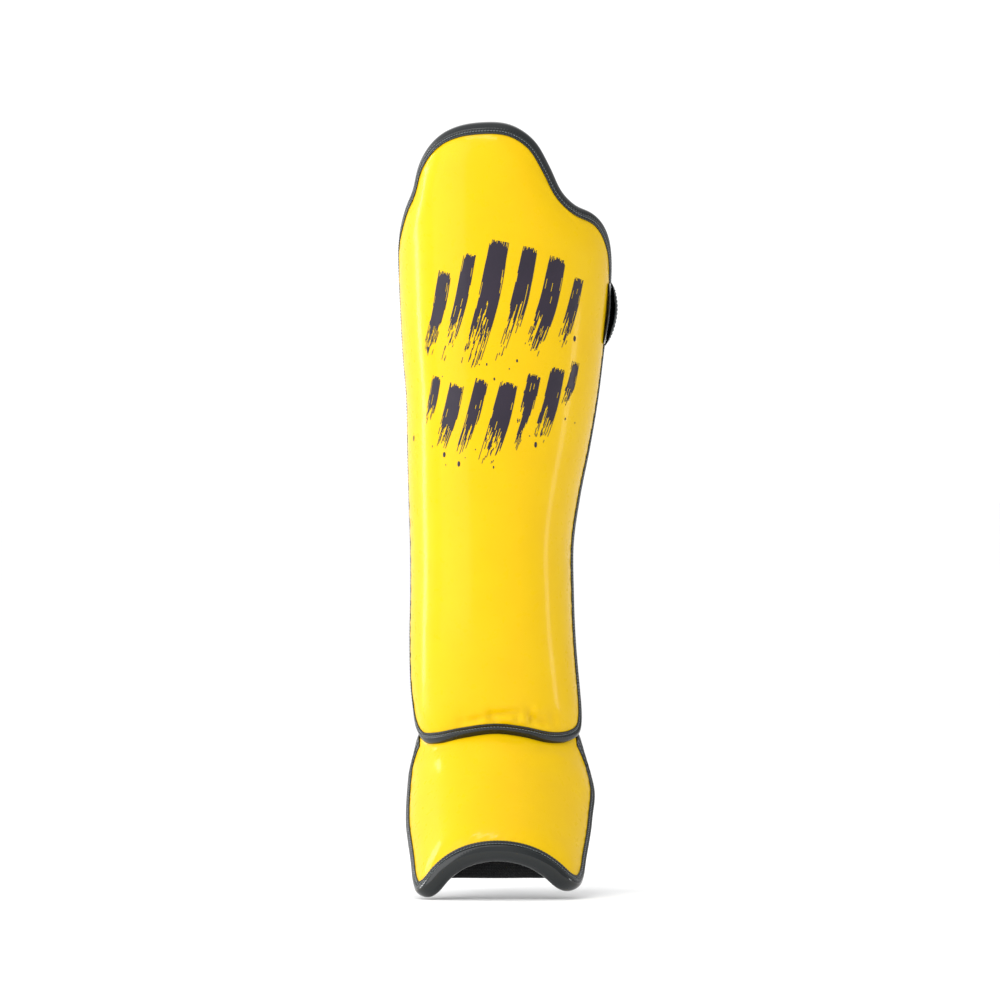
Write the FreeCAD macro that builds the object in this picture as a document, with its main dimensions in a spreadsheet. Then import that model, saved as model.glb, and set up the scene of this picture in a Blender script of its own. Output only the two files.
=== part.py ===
"""A padded shin guard with a hinged instep pad, two calf straps, a foot strap and a heel strap.

Row frame: +Z up along the leg, the guard's front towards -Y, +X to the side of the flared calf wing.
The origin is on the leg's axis at the height of the ankle fold. Millimetres and degrees.
Every pad is a stack of closed layers between offsets of one surface, trimmed by one outline.
"""
import FreeCAD, Part
import math
import os
import Sketcher
from FreeCAD import Rotation, Vector

Vector2d = FreeCAD.Base.Vector2d
Geom2d = Part.Geom2d
OUT = "parts"
RAIL_POINTS = 150
FIT_ROUNDS = 6
SEW_TOLERANCE = 0.01

SIZES = {
    # shin pad
    "front_thickness": 22.0,
    "side_thickness": 13.6,
    "cover_thickness": 1.2,
    "lining_thickness": 1.0,
    "comfort_front": 6.0,
    "comfort_side": 3.0,
    "layer_gap": 0.2,
    # vinyl edge binding
    "binding_thickness": 1.2,
    "binding_flange": 5.5,
    "binding_rim": 2.4,
    "binding_edge_gap": 0.6,
    # instep pad
    "instep_slope": 47.0,
    "instep_half_width": 55.0,
    "instep_depth": 56.0,
    "instep_front_thickness": 17.0,
    "instep_side_thickness": 13.0,
    "ankle_ridge_y": -36.0,
    "ankle_ridge_z": 2.0,
    "web_thickness": 1.0,
    # calf straps
    "strap_width": 40.0,
    "upper_strap_z": 264.0,
    "lower_strap_z": 84.0,
    "strap_thickness": 1.6,
    "tape_thickness": 0.8,
    "wing_thickness": 1.2,
    "upper_strap_depth": 72.0,
    "lower_strap_depth": 60.0,
    "upper_tab_inset": 0.0,
    "upper_root_inset": 9.0,
    "lower_tab_inset": 8.0,
    "lower_root_inset": 4.5,
    # foot and heel straps
    "foot_strap_width": 36.0,
    "foot_strap_thickness": 1.8,
    "foot_strap_start": 46.0,
    "foot_strap_drop": 44.0,
    "foot_strap_flat": 66.0,
    "foot_strap_bend": 4.0,
    "foot_strap_side": 3.5,
    "foot_strap_rise": 11.5,
    "foot_strap_tip": 2.5,
    "foot_profile_x": 50.0,
    "foot_profile_z": 5.0,
    "heel_strap_half_width": 37.0,
    "heel_strap_depth": 74.0,
    "heel_strap_thickness": 1.8,
    "heel_strap_width": 28.0,
    "heel_strap_y": -13.0,
    "heel_strap_z": -34.0,
    "heel_strap_tilt": 25.0,
}

# Half-widths to the left and right of the leg's axis and the front's depth, by height.
SHIN_STATIONS = (-40, 10, 30, 60, 90, 120, 150, 180, 210, 240, 272, 308, 360, 410)
LEFT_HALF_WIDTH = (48, 49.5, 51, 53, 53.5, 53, 53.6, 54.6, 56.6, 59, 60.6, 62, 63.5, 64)
RIGHT_HALF_WIDTH = (53.2, 53.2, 51.2, 48.6, 47.4, 47.4, 51.6, 57.6, 62.8, 66.6, 70, 72, 74.5, 75.5)
FRONT_DEPTH = (46, 46, 47, 49, 50, 51, 52.5, 54, 55.5, 57, 58.5, 60, 62, 62)

# Outlines: (angle round the leg from the front, height or distance down the instep).
SHIN_OUTLINE = (
    (-9, 379.6), (6.5, 378.6), (18, 371), (28, 354), (37, 336.5), (46, 327), (59, 321.6), (67, 315),
    (75, 306), (84, 294), (91, 276), (95, 240), (94, 200), (90, 165), (87, 125), (87, 80), (86, 45),
    (83, 20), (75, 7), (62, 3), (40, 2), (20, 5.5), (0, 7.6), (-25, 5), (-50, 1.5), (-67, 2),
    (-79, 9), (-87, 27), (-92, 60), (-95, 110), (-97, 180), (-97, 250), (-93, 285), (-84, 306),
    (-75, 318), (-66, 330), (-60, 338), (-52, 355), (-45, 364), (-33, 373.5), (-21, 378),
)
INSTEP_OUTLINE = (
    (0, 1), (20, -0.5), (40, -1), (52, -6), (62, -12), (70, -17), (75, -12), (78, 0), (79, 22), (78, 45),
    (75, 68), (72, 86), (66, 95), (57, 98), (45, 96), (25, 93), (0, 92), (-25, 93.5), (-45, 98),
    (-57, 102), (-66, 100), (-72, 90), (-75, 68), (-78, 45), (-79, 22), (-78, 0), (-75, -12),
    (-70, -17), (-62, -12), (-52, -6), (-40, -1), (-20, -0.5),
)
# The instep's binding runs down one side, round the toe edge and up the other side.
INSTEP_BOUND_EDGE = (
    (75, -12), (78, 0), (79, 22), (78, 45), (75, 68), (72, 86), (66, 95), (57, 98), (45, 96),
    (25, 93), (0, 92), (-25, 93.5), (-45, 98), (-57, 102), (-66, 100), (-72, 90), (-75, 68),
    (-78, 45), (-79, 22), (-78, 0), (-75, -12),
)
WEB_OUTLINE = (
    (0, 29), (20, 29), (34, 29), (39, 24), (39, 15), (39, 6), (34, 1), (20, 1), (0, 1), (-20, 1),
    (-34, 1), (-39, 6), (-39, 15), (-39, 24), (-34, 29), (-20, 29),
)


def make_sheet(doc):
    """The spreadsheet of driving dimensions: one aliased cell for each size."""
    sheet = doc.addObject("Spreadsheet::Sheet", "Sizes")
    for row, (name, value) in enumerate(SIZES.items(), start=1):
        sheet.set(f"A{row}", name)
        sheet.set(f"B{row}", str(value))
        sheet.setAlias(f"B{row}", name)
    doc.recompute()
    return sheet


def size(name):
    return float(getattr(sheet, name))


def interpolate(stations, values, at):
    """A smooth curve through the values, read at a height."""
    last = len(stations) - 1
    at = min(max(at, stations[0]), stations[last])
    i = next(k for k in range(last) if at <= stations[k + 1])

    def slope(k):
        low, high = max(k - 1, 0), min(k + 1, last)
        return (values[high] - values[low]) / (stations[high] - stations[low])

    span = stations[i + 1] - stations[i]
    t = (at - stations[i]) / span
    ease = t * t * (3 - 2 * t)
    start, end = span * t * (1 - t) ** 2 * slope(i), span * t * t * (t - 1) * slope(i + 1)
    return values[i] + (values[i + 1] - values[i]) * ease + start + end


def shin_point(angle, height, side, front):
    """A point on the shin pad, side and front millimetres under its outer surface."""
    left = interpolate(SHIN_STATIONS, LEFT_HALF_WIDTH, height)
    right = interpolate(SHIN_STATIONS, RIGHT_HALF_WIDTH, height)
    depth = interpolate(SHIN_STATIONS, FRONT_DEPTH, height)
    turn = math.radians(angle)
    width = (left + right) / 2 + (right - left) / 2 * math.sin(turn)
    return Vector((width - side) * math.sin(turn), -(depth - front) * math.cos(turn), height)


def strap_point_at(back_depth, tab_inset, root_inset):
    """The point function of a strap round the back of the calf, set in from the shin pad's outside at each end."""

    def point(angle, height, side, front):
        toward_root = min(max((angle - 150) / 100, 0.0), 1.0)
        inset = tab_inset + (root_inset - tab_inset) * toward_root * toward_root * (3 - 2 * toward_root)
        at = shin_point(angle, height, side + inset, front)
        back = -math.cos(math.radians(angle))
        blend = min(max((back - 0.2) / 0.8, 0.0), 1.0)
        depth = interpolate(SHIN_STATIONS, FRONT_DEPTH, height)
        depth += (back_depth - depth) * blend * blend * (3 - 2 * blend)
        at.y = (depth - front - inset) * back
        return at

    return point


def instep_directions():
    slope = math.radians(size("instep_slope"))
    down = Vector(0, -math.cos(slope), -math.sin(slope))
    outward = Vector(0, -math.sin(slope), math.cos(slope))
    return down, outward


def instep_point(angle, along, side, front):
    """A point on the instep pad, along millimetres down its ridge from the ankle."""
    down, outward = instep_directions()
    turn = math.radians(angle)
    taper = 1 - 0.06 * max(0.0, 1 - max(0.0, along + 30) / 70)
    width = size("instep_half_width") * taper - side
    depth = size("instep_depth") * taper - front
    ridge = Vector(0, size("ankle_ridge_y"), size("ankle_ridge_z")) + down * along
    fall = size("instep_depth") * taper - depth * math.cos(turn)
    return ridge + Vector(width * math.sin(turn), 0, 0) - outward * fall


def greville(low, high, count):
    """Cubic clamped knots over low to high, their multiplicities, and the place of each of count poles."""
    spans = count - 3
    knots = [low + (high - low) * i / spans for i in range(spans + 1)]
    multiplicities = [4] + [1] * (spans - 1) + [4]
    flat = [k for k, m in zip(knots, multiplicities) for _ in range(m)]
    return knots, multiplicities, [sum(flat[i + 1:i + 4]) / 3 for i in range(count)]


class Layer:
    """One smooth surface of a pad. Its parameters are the angle and the height themselves.

    The poles start on the wanted surface and are moved by what it misses, a few rounds over.
    """

    def __init__(self, point, side, front, angles, heights, poles=(27, 24)):
        u_knots, u_mults, u_places = greville(*angles, poles[0])
        v_knots, v_mults, v_places = greville(*heights, poles[1])
        target = [[point(u, v, side, front) for v in v_places] for u in u_places]
        grid = [list(row) for row in target]
        self.surface = Part.BSplineSurface()
        self.surface.buildFromPolesMultsKnots(grid, u_mults, v_mults, u_knots, v_knots, False, False, 3, 3)
        for _ in range(FIT_ROUNDS):
            for i, u in enumerate(u_places):
                for j, v in enumerate(v_places):
                    grid[i][j] = grid[i][j] + target[i][j] - self.surface.value(u, v)
            self.surface.buildFromPolesMultsKnots(
                grid, u_mults, v_mults, u_knots, v_knots, False, False, 3, 3
            )

    def edge(self, outline):
        curve = Geom2d.BSplineCurve2d()
        curve.interpolate(Points=[Vector2d(*p) for p in outline], PeriodicFlag=True)
        return curve.toShape(self.surface)

    def face(self, outline):
        return Part.Face(self.surface, Part.Wire(self.edge(outline)))


def close_solid(faces, name):
    """A closed solid of faces that share their edges."""
    shell = Part.makeShell(faces)
    shell.sewShape()
    solid = Part.makeSolid(shell)
    if solid.Volume < 0:
        solid.reverse()
    if not solid.isValid() or solid.Volume <= 0:
        raise RuntimeError(f"{name} isn't a valid solid")
    return solid


def slab(outer, inner, outline, name):
    """The solid between two layers inside one outline."""
    faces = [outer.face(outline), inner.face(outline)]
    faces.append(Part.makeRuledSurface(faces[0].Edges[0], faces[1].Edges[0]))
    return close_solid(faces, name)


def spaced_outline(outline, outward=0.0, count=RAIL_POINTS, closed=True):
    """Evenly spaced points on the smooth curve through an outline, moved outward."""
    curve = Geom2d.BSplineCurve2d()
    curve.interpolate(Points=[Vector2d(*p) for p in outline], PeriodicFlag=closed)
    first, last = curve.FirstParameter, curve.LastParameter
    area = sum(a[0] * b[1] - b[0] * a[1] for a, b in zip(outline, outline[1:] + outline[:1]))
    sign = 1.0 if area > 0 else -1.0
    steps = count * 8
    fine = [curve.value(first + (last - first) * i / steps) for i in range(steps + 1)]
    along = [0.0]
    for a, b in zip(fine, fine[1:]):
        along.append(along[-1] + math.hypot(b.x - a.x, b.y - a.y))
    points = []
    for i in range(count if closed else count + 1):
        target = along[-1] * i / count
        k = next((j for j, length in enumerate(along) if length >= target), steps)
        before, after = fine[max(k - 1, 0)], fine[min(k + 1, steps)]
        dx, dy = after.x - before.x, after.y - before.y
        length = math.hypot(dx, dy)
        points.append((fine[k].x + sign * outward * dy / length, fine[k].y - sign * outward * dx / length))
    return points


def band(point, outline, corners, name, closed=True):
    """A band along an outline. corners are its section's (outward, side, front) points, in order."""
    rails = []
    for outward, side, front in corners:
        curve = Part.BSplineCurve()
        places = spaced_outline(outline, outward, closed=closed)
        through = [point(a, b, side, front) for a, b in places]
        ticks = [float(i) for i in range(len(through) + 1 if closed else len(through))]
        curve.interpolate(Points=through, PeriodicFlag=closed, Parameters=ticks)
        rails.append(curve)
    edges = [curve.toShape() for curve in rails]
    faces = [Part.makeRuledSurface(a, b) for a, b in zip(edges, edges[1:] + edges[:1])]
    if not closed:
        for at in (0, -1):
            ends = [curve.value(curve.FirstParameter if at == 0 else curve.LastParameter) for curve in rails]
            faces += end_cap(ends)
    return close_solid(faces, name)


def end_cap(ends):
    """Flat triangles over the end of a C section of ten corners."""
    triangles = ((0, 1, 2), (0, 2, 9), (9, 2, 3), (9, 3, 4), (9, 4, 8), (8, 4, 5), (8, 5, 6), (8, 6, 7))
    return [Part.Face(Part.makePolygon([ends[i] for i in (a, b, c, a)])) for a, b, c in triangles]


def binding_section(side, front):
    """The folded tape's C section round a pad that is side and front millimetres thick."""
    gap, tape = size("layer_gap"), size("binding_thickness")
    flange, rim, edge = size("binding_flange"), size("binding_rim"), size("binding_edge_gap")
    over = gap + tape
    return [
        (-flange, -gap, -gap),
        (-flange, -over, -over),
        (rim - 1.0, -over, -over),
        (rim, 0.25 * side, 0.25 * front),
        (rim, 0.75 * side, 0.75 * front),
        (rim - 1.0, side + over, front + over),
        (-flange, side + over, front + over),
        (-flange, side + gap, front + gap),
        (edge, side + gap, front + gap),
        (edge, -gap, -gap),
    ]


def add_shape(doc, name, shape):
    """A sub-part of free-form shape."""
    feature = doc.addObject("Part::Feature", name)
    feature.Label = name
    feature.Shape = shape
    parts.append(feature)
    return feature


def pad_depths(side, front, comfort_side, comfort_front):
    """(side, front) depths of the faces of the cover, impact foam, comfort foam and lining, outside first."""
    gap, cover, lining = size("layer_gap"), size("cover_thickness"), size("lining_thickness")
    foam_side = side - lining - gap - comfort_side - gap
    foam_front = front - lining - gap - comfort_front - gap
    return {
        "cover": ((0, 0), (cover, cover)),
        "impact_foam": ((cover + gap, cover + gap), (foam_side, foam_front)),
        "comfort_foam": (
            (foam_side + gap, foam_front + gap),
            (side - lining - gap, front - lining - gap),
        ),
        "lining": ((side - lining, front - lining), (side, front)),
    }


def build_pad(doc, prefix, point, outline, depths, angles, heights):
    """The cover, the two foams and the lining of one pad."""
    places = spaced_outline(outline)
    for layer, (outside, inside) in depths.items():
        outer = Layer(point, *outside, angles, heights)
        inner = Layer(point, *inside, angles, heights)
        name = f"{prefix}_{layer}"
        add_shape(doc, name, slab(outer, inner, places, name))


def build_shin_pad(doc):
    side, front = size("side_thickness"), size("front_thickness")
    depths = pad_depths(side, front, size("comfort_side"), size("comfort_front"))
    build_pad(doc, "shin", shin_point, SHIN_OUTLINE, depths, (-120, 120), (-40, 410))
    section = binding_section(side, front)
    add_shape(doc, "shin_binding", band(shin_point, SHIN_OUTLINE, section, "shin_binding"))


def build_instep_pad(doc):
    side, front = size("instep_side_thickness"), size("instep_front_thickness")
    depths = pad_depths(side, front, 3.0, 4.0)
    build_pad(doc, "instep", instep_point, INSTEP_OUTLINE, depths, (-110, 110), (-40, 110))
    section = binding_section(side, front)
    edge = band(instep_point, INSTEP_BOUND_EDGE, section, "instep_binding", closed=False)
    add_shape(doc, "instep_binding", edge)


def web_point(angle, along, side, front):
    """A point on the ankle web, which hangs from inside the shin pad down to inside the instep pad."""
    clear = size("binding_thickness") + 3 * size("layer_gap")
    shin_side, shin_front = size("side_thickness") + clear, size("front_thickness") + clear
    instep_side, instep_front = size("instep_side_thickness") + clear, size("instep_front_thickness") + clear
    above = shin_point(angle, 4 + max(along, 15) - 15, shin_side + side, shin_front + front)
    below = instep_point(angle, 15 - min(along, 15), instep_side + side, instep_front + front)
    blend = min(max((along - 8) / 14, 0.0), 1.0)
    at = below + (above - below) * blend
    at.y += 4.0 * (1 - (2 * blend - 1) ** 2)
    return at


def build_ankle_web(doc):
    """The fabric web sewn to both linings: the soft hinge between the two pads."""
    thickness = size("web_thickness")
    outer = Layer(web_point, 0, 0, (-60, 60), (-5, 35))
    inner = Layer(web_point, thickness, thickness, (-60, 60), (-5, 35))
    add_shape(doc, "ankle_web", slab(outer, inner, spaced_outline(WEB_OUTLINE), "ankle_web"))


def rounded_box(low, high, height, half, corner_low=3.0, corner_high=3.0):
    """An outline round a strap's stretch from one angle to another, its corners rounded."""
    points = []
    for turn, angle, side, corner in (
        (-90, high - corner_high, -1, corner_high),
        (0, high - corner_high, 1, corner_high),
        (90, low + corner_low, 1, corner_low),
        (180, low + corner_low, -1, corner_low),
    ):
        centre = height + side * (half - corner)
        for step in range(4):
            at = math.radians(turn + 30 * step)
            points.append((angle + corner * math.cos(at), centre + corner * math.sin(at)))
        if turn in (-90, 90):
            points.append((points[-1][0], height))
        else:
            end = points[-1]
            points += [(end[0] + (low + high - 2 * end[0]) * f, end[1]) for f in (0.25, 0.5, 0.75)]
    return points


def build_strap(doc, prefix, wing_start, tab_start, root_end):
    """One calf closure: anchor, elastic, tab and hook tape, and the wing and loop tape that they close on."""
    height = size(f"{prefix}_strap_z")
    insets = size(f"{prefix}_tab_inset"), size(f"{prefix}_root_inset")
    point = strap_point_at(size(f"{prefix}_strap_depth"), *insets)
    gap, tape, wing = size("layer_gap"), size("tape_thickness"), size("wing_thickness")
    strap = size("strap_thickness")
    half = size("strap_width") / 2
    wing_at = size("binding_thickness") + 2 * gap
    loop_at = wing_at + wing + gap
    hook_at = loop_at + tape + gap
    strap_at = hook_at + tape + gap
    pieces = {
        "loop_wing": (wing_at, wing, rounded_box(wing_start, 150, height, half - 1)),
        "loop_tape": (loop_at, tape, rounded_box(103, 147, height, half - 3)),
        "hook_tape": (hook_at, tape, rounded_box(104, 144, height, half - 3)),
        "strap_tab": (strap_at, strap, rounded_box(tab_start, 150, height, half, corner_low=12)),
        "strap_elastic": (strap_at, strap, rounded_box(152, 243, height, half - 1)),
        "strap_anchor": (strap_at, strap, rounded_box(248, root_end, height, half)),
    }
    for piece, (start, thickness, outline) in pieces.items():
        angles = (60, 300)
        heights = (height - 40, height + 40)
        outer = Layer(point, -start - thickness, -start - thickness, angles, heights, (41, 8))
        inner = Layer(point, -start, -start, angles, heights, (41, 8))
        name = f"{prefix}_{piece}"
        add_shape(doc, name, slab(outer, inner, spaced_outline(outline, count=80), name))


def add_profile(body, name, corners):
    """A closed sketch of straight lines on a body's XZ plane. corners are (x, z) formulas of the sheet."""
    profile = body.newObject("Sketcher::SketchObject", name)
    plane = next(f for f in body.Origin.OriginFeatures if f.Role == "XZ_Plane")
    profile.AttachmentSupport = [(plane, "")]
    profile.MapMode = "FlatFace"
    places = [[float(profile.evalExpression(formula)) for formula in corner] for corner in corners]
    count = len(places)
    for a, b in zip(places, places[1:] + places[:1]):
        profile.addGeometry(Part.LineSegment(Vector(*a, 0), Vector(*b, 0)), False)
    for i in range(count):
        profile.addConstraint(Sketcher.Constraint("Coincident", i, 2, (i + 1) % count, 1))
    for i, (corner, place) in enumerate(zip(corners, places)):
        for kind, formula, at in zip(("DistanceX", "DistanceY"), corner, place):
            index = profile.addConstraint(Sketcher.Constraint(kind, -1, 1, i, 1, at))
            profile.setExpression(f"Constraints[{index}]", formula)
    return profile


def build_foot_strap(doc):
    """The elastic under the foot, its ends turned up and sewn inside the instep pad's two sides."""
    body = doc.addObject("PartDesign::Body", "foot_strap")
    body.Label = "foot_strap"
    middle, base = "Sizes.foot_profile_x", "Sizes.foot_profile_z"
    half, bend, rise = "Sizes.foot_strap_flat / 2", "Sizes.foot_strap_bend", "Sizes.foot_strap_rise"
    side, tip, thick = "Sizes.foot_strap_side", "Sizes.foot_strap_tip", "Sizes.foot_strap_thickness"
    right = [
        (f"{half}", "0"),
        (f"{half} + {side}", f"{bend}"),
        (f"{half} - {tip}", f"{rise}"),
        (f"{half} - {tip} - {thick}", f"{rise} - {thick} * 0.7"),
        (f"{half} + {side} - {thick} * 1.4", f"{bend}"),
        (f"{half} - {thick} * 0.5", f"{thick}"),
    ]
    corners = [(f"{middle} + {x}", f"{base} + {z}") for x, z in right]
    corners += [(f"{middle} - ({x})", f"{base} + {z}") for x, z in reversed(right)]
    profile = add_profile(body, "foot_strap_profile", corners)
    band = body.newObject("PartDesign::Pad", "foot_strap_band")
    band.Profile = profile
    band.setExpression("Length", "Sizes.foot_strap_width")
    doc.recompute()
    down, outward = instep_directions()
    start = Vector(-size("foot_profile_x"), size("ankle_ridge_y"), size("ankle_ridge_z"))
    start += down * size("foot_strap_start") - outward * (size("foot_strap_drop") + size("foot_profile_z"))
    body.Placement = FreeCAD.Placement(start, Rotation(Vector(1, 0, 0), size("instep_slope")))
    parts.append(body)


def heel_point(angle, along, side, front):
    """A point on the heel strap, along millimetres across its width. Angle 0 is behind the heel."""
    turn, tilt = math.radians(angle), math.radians(size("heel_strap_tilt"))
    width, depth = size("heel_strap_half_width") - side, size("heel_strap_depth") - front
    back, up = depth * math.cos(turn), along
    start = Vector(0, size("heel_strap_y"), size("heel_strap_z"))
    across = Vector(width * math.sin(turn), 0, 0)
    return start + across + Vector(
        0, back * math.cos(tilt) + up * math.sin(tilt), up * math.cos(tilt) - back * math.sin(tilt)
    )


def build_heel_strap(doc):
    """The elastic round the heel, its ends sewn inside the instep pad's two sides."""
    thickness, half = size("heel_strap_thickness"), size("heel_strap_width") / 2
    outer = Layer(heel_point, 0, 0, (-130, 130), (-30, 30), (41, 8))
    inner = Layer(heel_point, thickness, thickness, (-130, 130), (-30, 30), (41, 8))
    outline = rounded_box(-88, 88, 0, half)
    add_shape(doc, "heel_strap", slab(outer, inner, spaced_outline(outline), "heel_strap"))


def check_and_export(doc):
    doc.recompute()
    for obj in doc.Objects:
        if "Invalid" in obj.State or "Error" in obj.State:
            raise RuntimeError(f"{obj.Label} failed: {obj.State}")
    for part in parts:
        if part.Shape.isNull() or not part.Shape.isValid():
            raise RuntimeError(f"{part.Label} has no valid shape")
    os.makedirs(OUT, exist_ok=True)
    for part in parts:
        part.Shape.exportStep(os.path.join(OUT, part.Label + ".step"))
        print(f"{part.Label:24s} {part.Shape.Volume / 1000:8.2f} cm3  {len(part.Shape.Solids)} solid")


doc = FreeCAD.newDocument("ShinGuard")
sheet = make_sheet(doc)
parts = []
build_shin_pad(doc)
build_instep_pad(doc)
build_ankle_web(doc)
build_strap(doc, "upper", wing_start=80, tab_start=87, root_end=260.5)
build_strap(doc, "lower", wing_start=91, tab_start=94, root_end=263)
build_foot_strap(doc)
build_heel_strap(doc)
check_and_export(doc)
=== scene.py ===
"""The shin guard's looks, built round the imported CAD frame. Lengths are millimetres and angles degrees."""
import math

import bmesh
import bpy
import numpy as np
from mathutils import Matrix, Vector


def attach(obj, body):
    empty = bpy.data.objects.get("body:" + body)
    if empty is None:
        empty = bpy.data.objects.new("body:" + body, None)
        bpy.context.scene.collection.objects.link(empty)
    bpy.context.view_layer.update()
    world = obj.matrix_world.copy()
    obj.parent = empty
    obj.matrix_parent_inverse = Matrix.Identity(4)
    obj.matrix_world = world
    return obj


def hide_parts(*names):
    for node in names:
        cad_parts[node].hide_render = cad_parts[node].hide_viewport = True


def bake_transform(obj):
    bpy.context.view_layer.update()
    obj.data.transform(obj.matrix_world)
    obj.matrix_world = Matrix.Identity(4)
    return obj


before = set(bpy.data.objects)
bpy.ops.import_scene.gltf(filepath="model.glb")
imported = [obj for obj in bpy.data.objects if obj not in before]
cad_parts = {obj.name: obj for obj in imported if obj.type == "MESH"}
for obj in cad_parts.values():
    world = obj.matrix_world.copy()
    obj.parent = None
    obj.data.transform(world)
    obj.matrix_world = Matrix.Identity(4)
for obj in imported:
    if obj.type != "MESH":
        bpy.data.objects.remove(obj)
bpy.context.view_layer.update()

RANDOM = np.random.default_rng(7)
MM = 0.001  # metres in a millimetre


# ---------------------------------------------------------------- curves and surfaces

def smooth(stations, values, at):
    """A smooth curve through the values, read at any place."""
    x, y = np.asarray(stations, float), np.asarray(values, float)
    slope = np.gradient(y, x)
    at = np.clip(np.asarray(at, float), x[0], x[-1])
    i = np.clip(np.searchsorted(x, at, side="right") - 1, 0, len(x) - 2)
    h = x[i + 1] - x[i]
    t = (at - x[i]) / h
    return ((2 * t**3 - 3 * t**2 + 1) * y[i] + (t**3 - 2 * t**2 + t) * h * slope[i]
            + (3 * t**2 - 2 * t**3) * y[i + 1] + (t**3 - t**2) * h * slope[i + 1])


def step(t):
    t = np.clip(t, 0, 1)
    return t * t * (3 - 2 * t)


def unit(v):
    return v / np.maximum(np.linalg.norm(v, axis=-1, keepdims=True), 1e-9)


def spaced(points, count, closed):
    """Evenly spaced points on a smooth curve through the points."""
    p = np.asarray(points, float)
    if closed:
        p = np.vstack([p[-3:], p, p[:4]])
    chord = np.concatenate([[0], np.cumsum(np.linalg.norm(np.diff(p, axis=0), axis=1))])
    first, last = (chord[3], chord[-4]) if closed else (0, chord[-1])
    fine = np.linspace(first, last, count * 6 + 1)
    curve = np.stack([smooth(chord, p[:, i], fine) for i in range(p.shape[1])], axis=1)
    along = np.concatenate([[0], np.cumsum(np.linalg.norm(np.diff(curve, axis=0), axis=1))])
    at = np.linspace(0, along[-1], count + 1)[: count if closed else count + 1]
    return np.stack([np.interp(at, along, curve[:, i]) for i in range(curve.shape[1])], axis=1)


def soften(points, sigma, closed=True):
    """The points of an evenly spaced curve, each averaged with its neighbours."""
    reach = int(sigma * 3)
    weights = np.exp(-0.5 * (np.arange(-reach, reach + 1) / sigma) ** 2)
    weights /= weights.sum()
    mode = "wrap" if closed else "reflect"
    padded = np.pad(points, ((reach, reach), (0, 0)), mode=mode)
    return np.stack([np.convolve(padded[:, i], weights, "valid") for i in range(points.shape[1])], axis=1)


def graded(length, fine, coarse, reach):
    """Places from 0 to 1 along a length: fine steps near both ends, coarse ones between."""
    places, at = [0.0], 0.0
    while at < length / 2:
        at += fine + (coarse - fine) * float(step(at / reach))
        places.append(at)
    half = np.array(places) / places[-1] * 0.5
    return np.concatenate([half, 1 - half[-2::-1]])


# The shin pad's outer face at the leg's heights: half-widths to each side, and depth at the front.
SHIN_STATIONS = (-40, 10, 30, 60, 90, 120, 150, 180, 210, 240, 272, 308, 360, 410)
LEFT_HALF_WIDTH = (51, 53, 54.2, 54.6, 54, 54.2, 55.2, 56, 56.6, 59, 60.6, 62, 63.5, 64)
RIGHT_HALF_WIDTH = (53.2, 53.2, 51.2, 48.6, 47.4, 47.4, 51.6, 57.6, 62.8, 66.6, 70, 72, 74.5, 75.5)
FRONT_DEPTH = (46, 46, 47, 49, 50, 51, 52.5, 54, 55.5, 57, 58.5, 60, 62, 62)
SHIN_SIDE, SHIN_FRONT = 13.6, 22.0  # thickness at the sides and at the front
# The shin pad's edge, as (angle round the leg, height).
SHIN_OUTLINE = (
    (-9, 379.6), (6.5, 378.6), (18, 371), (28, 354), (37, 336.5), (46, 329), (59, 324.6), (67, 319),
    (75, 310.5), (84, 298.5), (91, 279), (95, 240), (94, 200), (90, 165), (87, 125), (87, 80), (86, 43),
    (83, 16), (75, 2.4), (62, -2), (40, -3), (20, 0.5), (0, 2.6), (-25, 0), (-50, -3.5), (-67, -3),
    (-79, 4), (-87, 24), (-92, 60), (-95, 110), (-97, 180), (-97, 250), (-93, 290), (-84, 311.5),
    (-75, 322.5), (-66, 332.5), (-60, 338), (-52, 355), (-45, 364), (-33, 373.5), (-21, 378),
)


def shin_surface(angle, z, depth):
    """The shin pad at an angle and height. depth is 0 on its outer face and 1 on its inner face."""
    left, right, front = (smooth(SHIN_STATIONS, t, z) for t in (LEFT_HALF_WIDTH, RIGHT_HALF_WIDTH, FRONT_DEPTH))
    turn = np.radians(angle)
    width = (left + right) / 2 + (right - left) / 2 * np.sin(turn) - SHIN_SIDE * depth
    return np.stack([width * np.sin(turn), -(front - SHIN_FRONT * depth) * np.cos(turn), z + 0 * turn], axis=-1)


# The instep pad slopes forward from its ridge line, which starts at the fold.
SLOPE = math.radians(47)
DOWN = np.array([0, -math.cos(SLOPE), -math.sin(SLOPE)])
OUTWARD = np.array([0, -math.sin(SLOPE), math.cos(SLOPE)])
RIDGE = np.array([0, -36.0, 2.0])
INSTEP_WIDTH, INSTEP_DEPTH, INSTEP_SIDE, INSTEP_FRONT = 55.0, 56.0, 13.0, 17.0
# The instep pad's edge, as (angle, distance down the slope).
INSTEP_OUTLINE = (
    (0, 1), (20, -0.5), (40, -1), (52, -6), (62, -12), (70, -17), (75, -12), (78, 0), (79, 22), (78, 45),
    (75, 68), (72, 86), (66, 95), (57, 98), (45, 96), (25, 93), (0, 92), (-25, 93.5), (-45, 98),
    (-57, 102), (-66, 100), (-72, 90), (-75, 68), (-78, 45), (-79, 22), (-78, 0), (-75, -12),
    (-70, -17), (-62, -12), (-52, -6), (-40, -1), (-20, -0.5),
)
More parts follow.
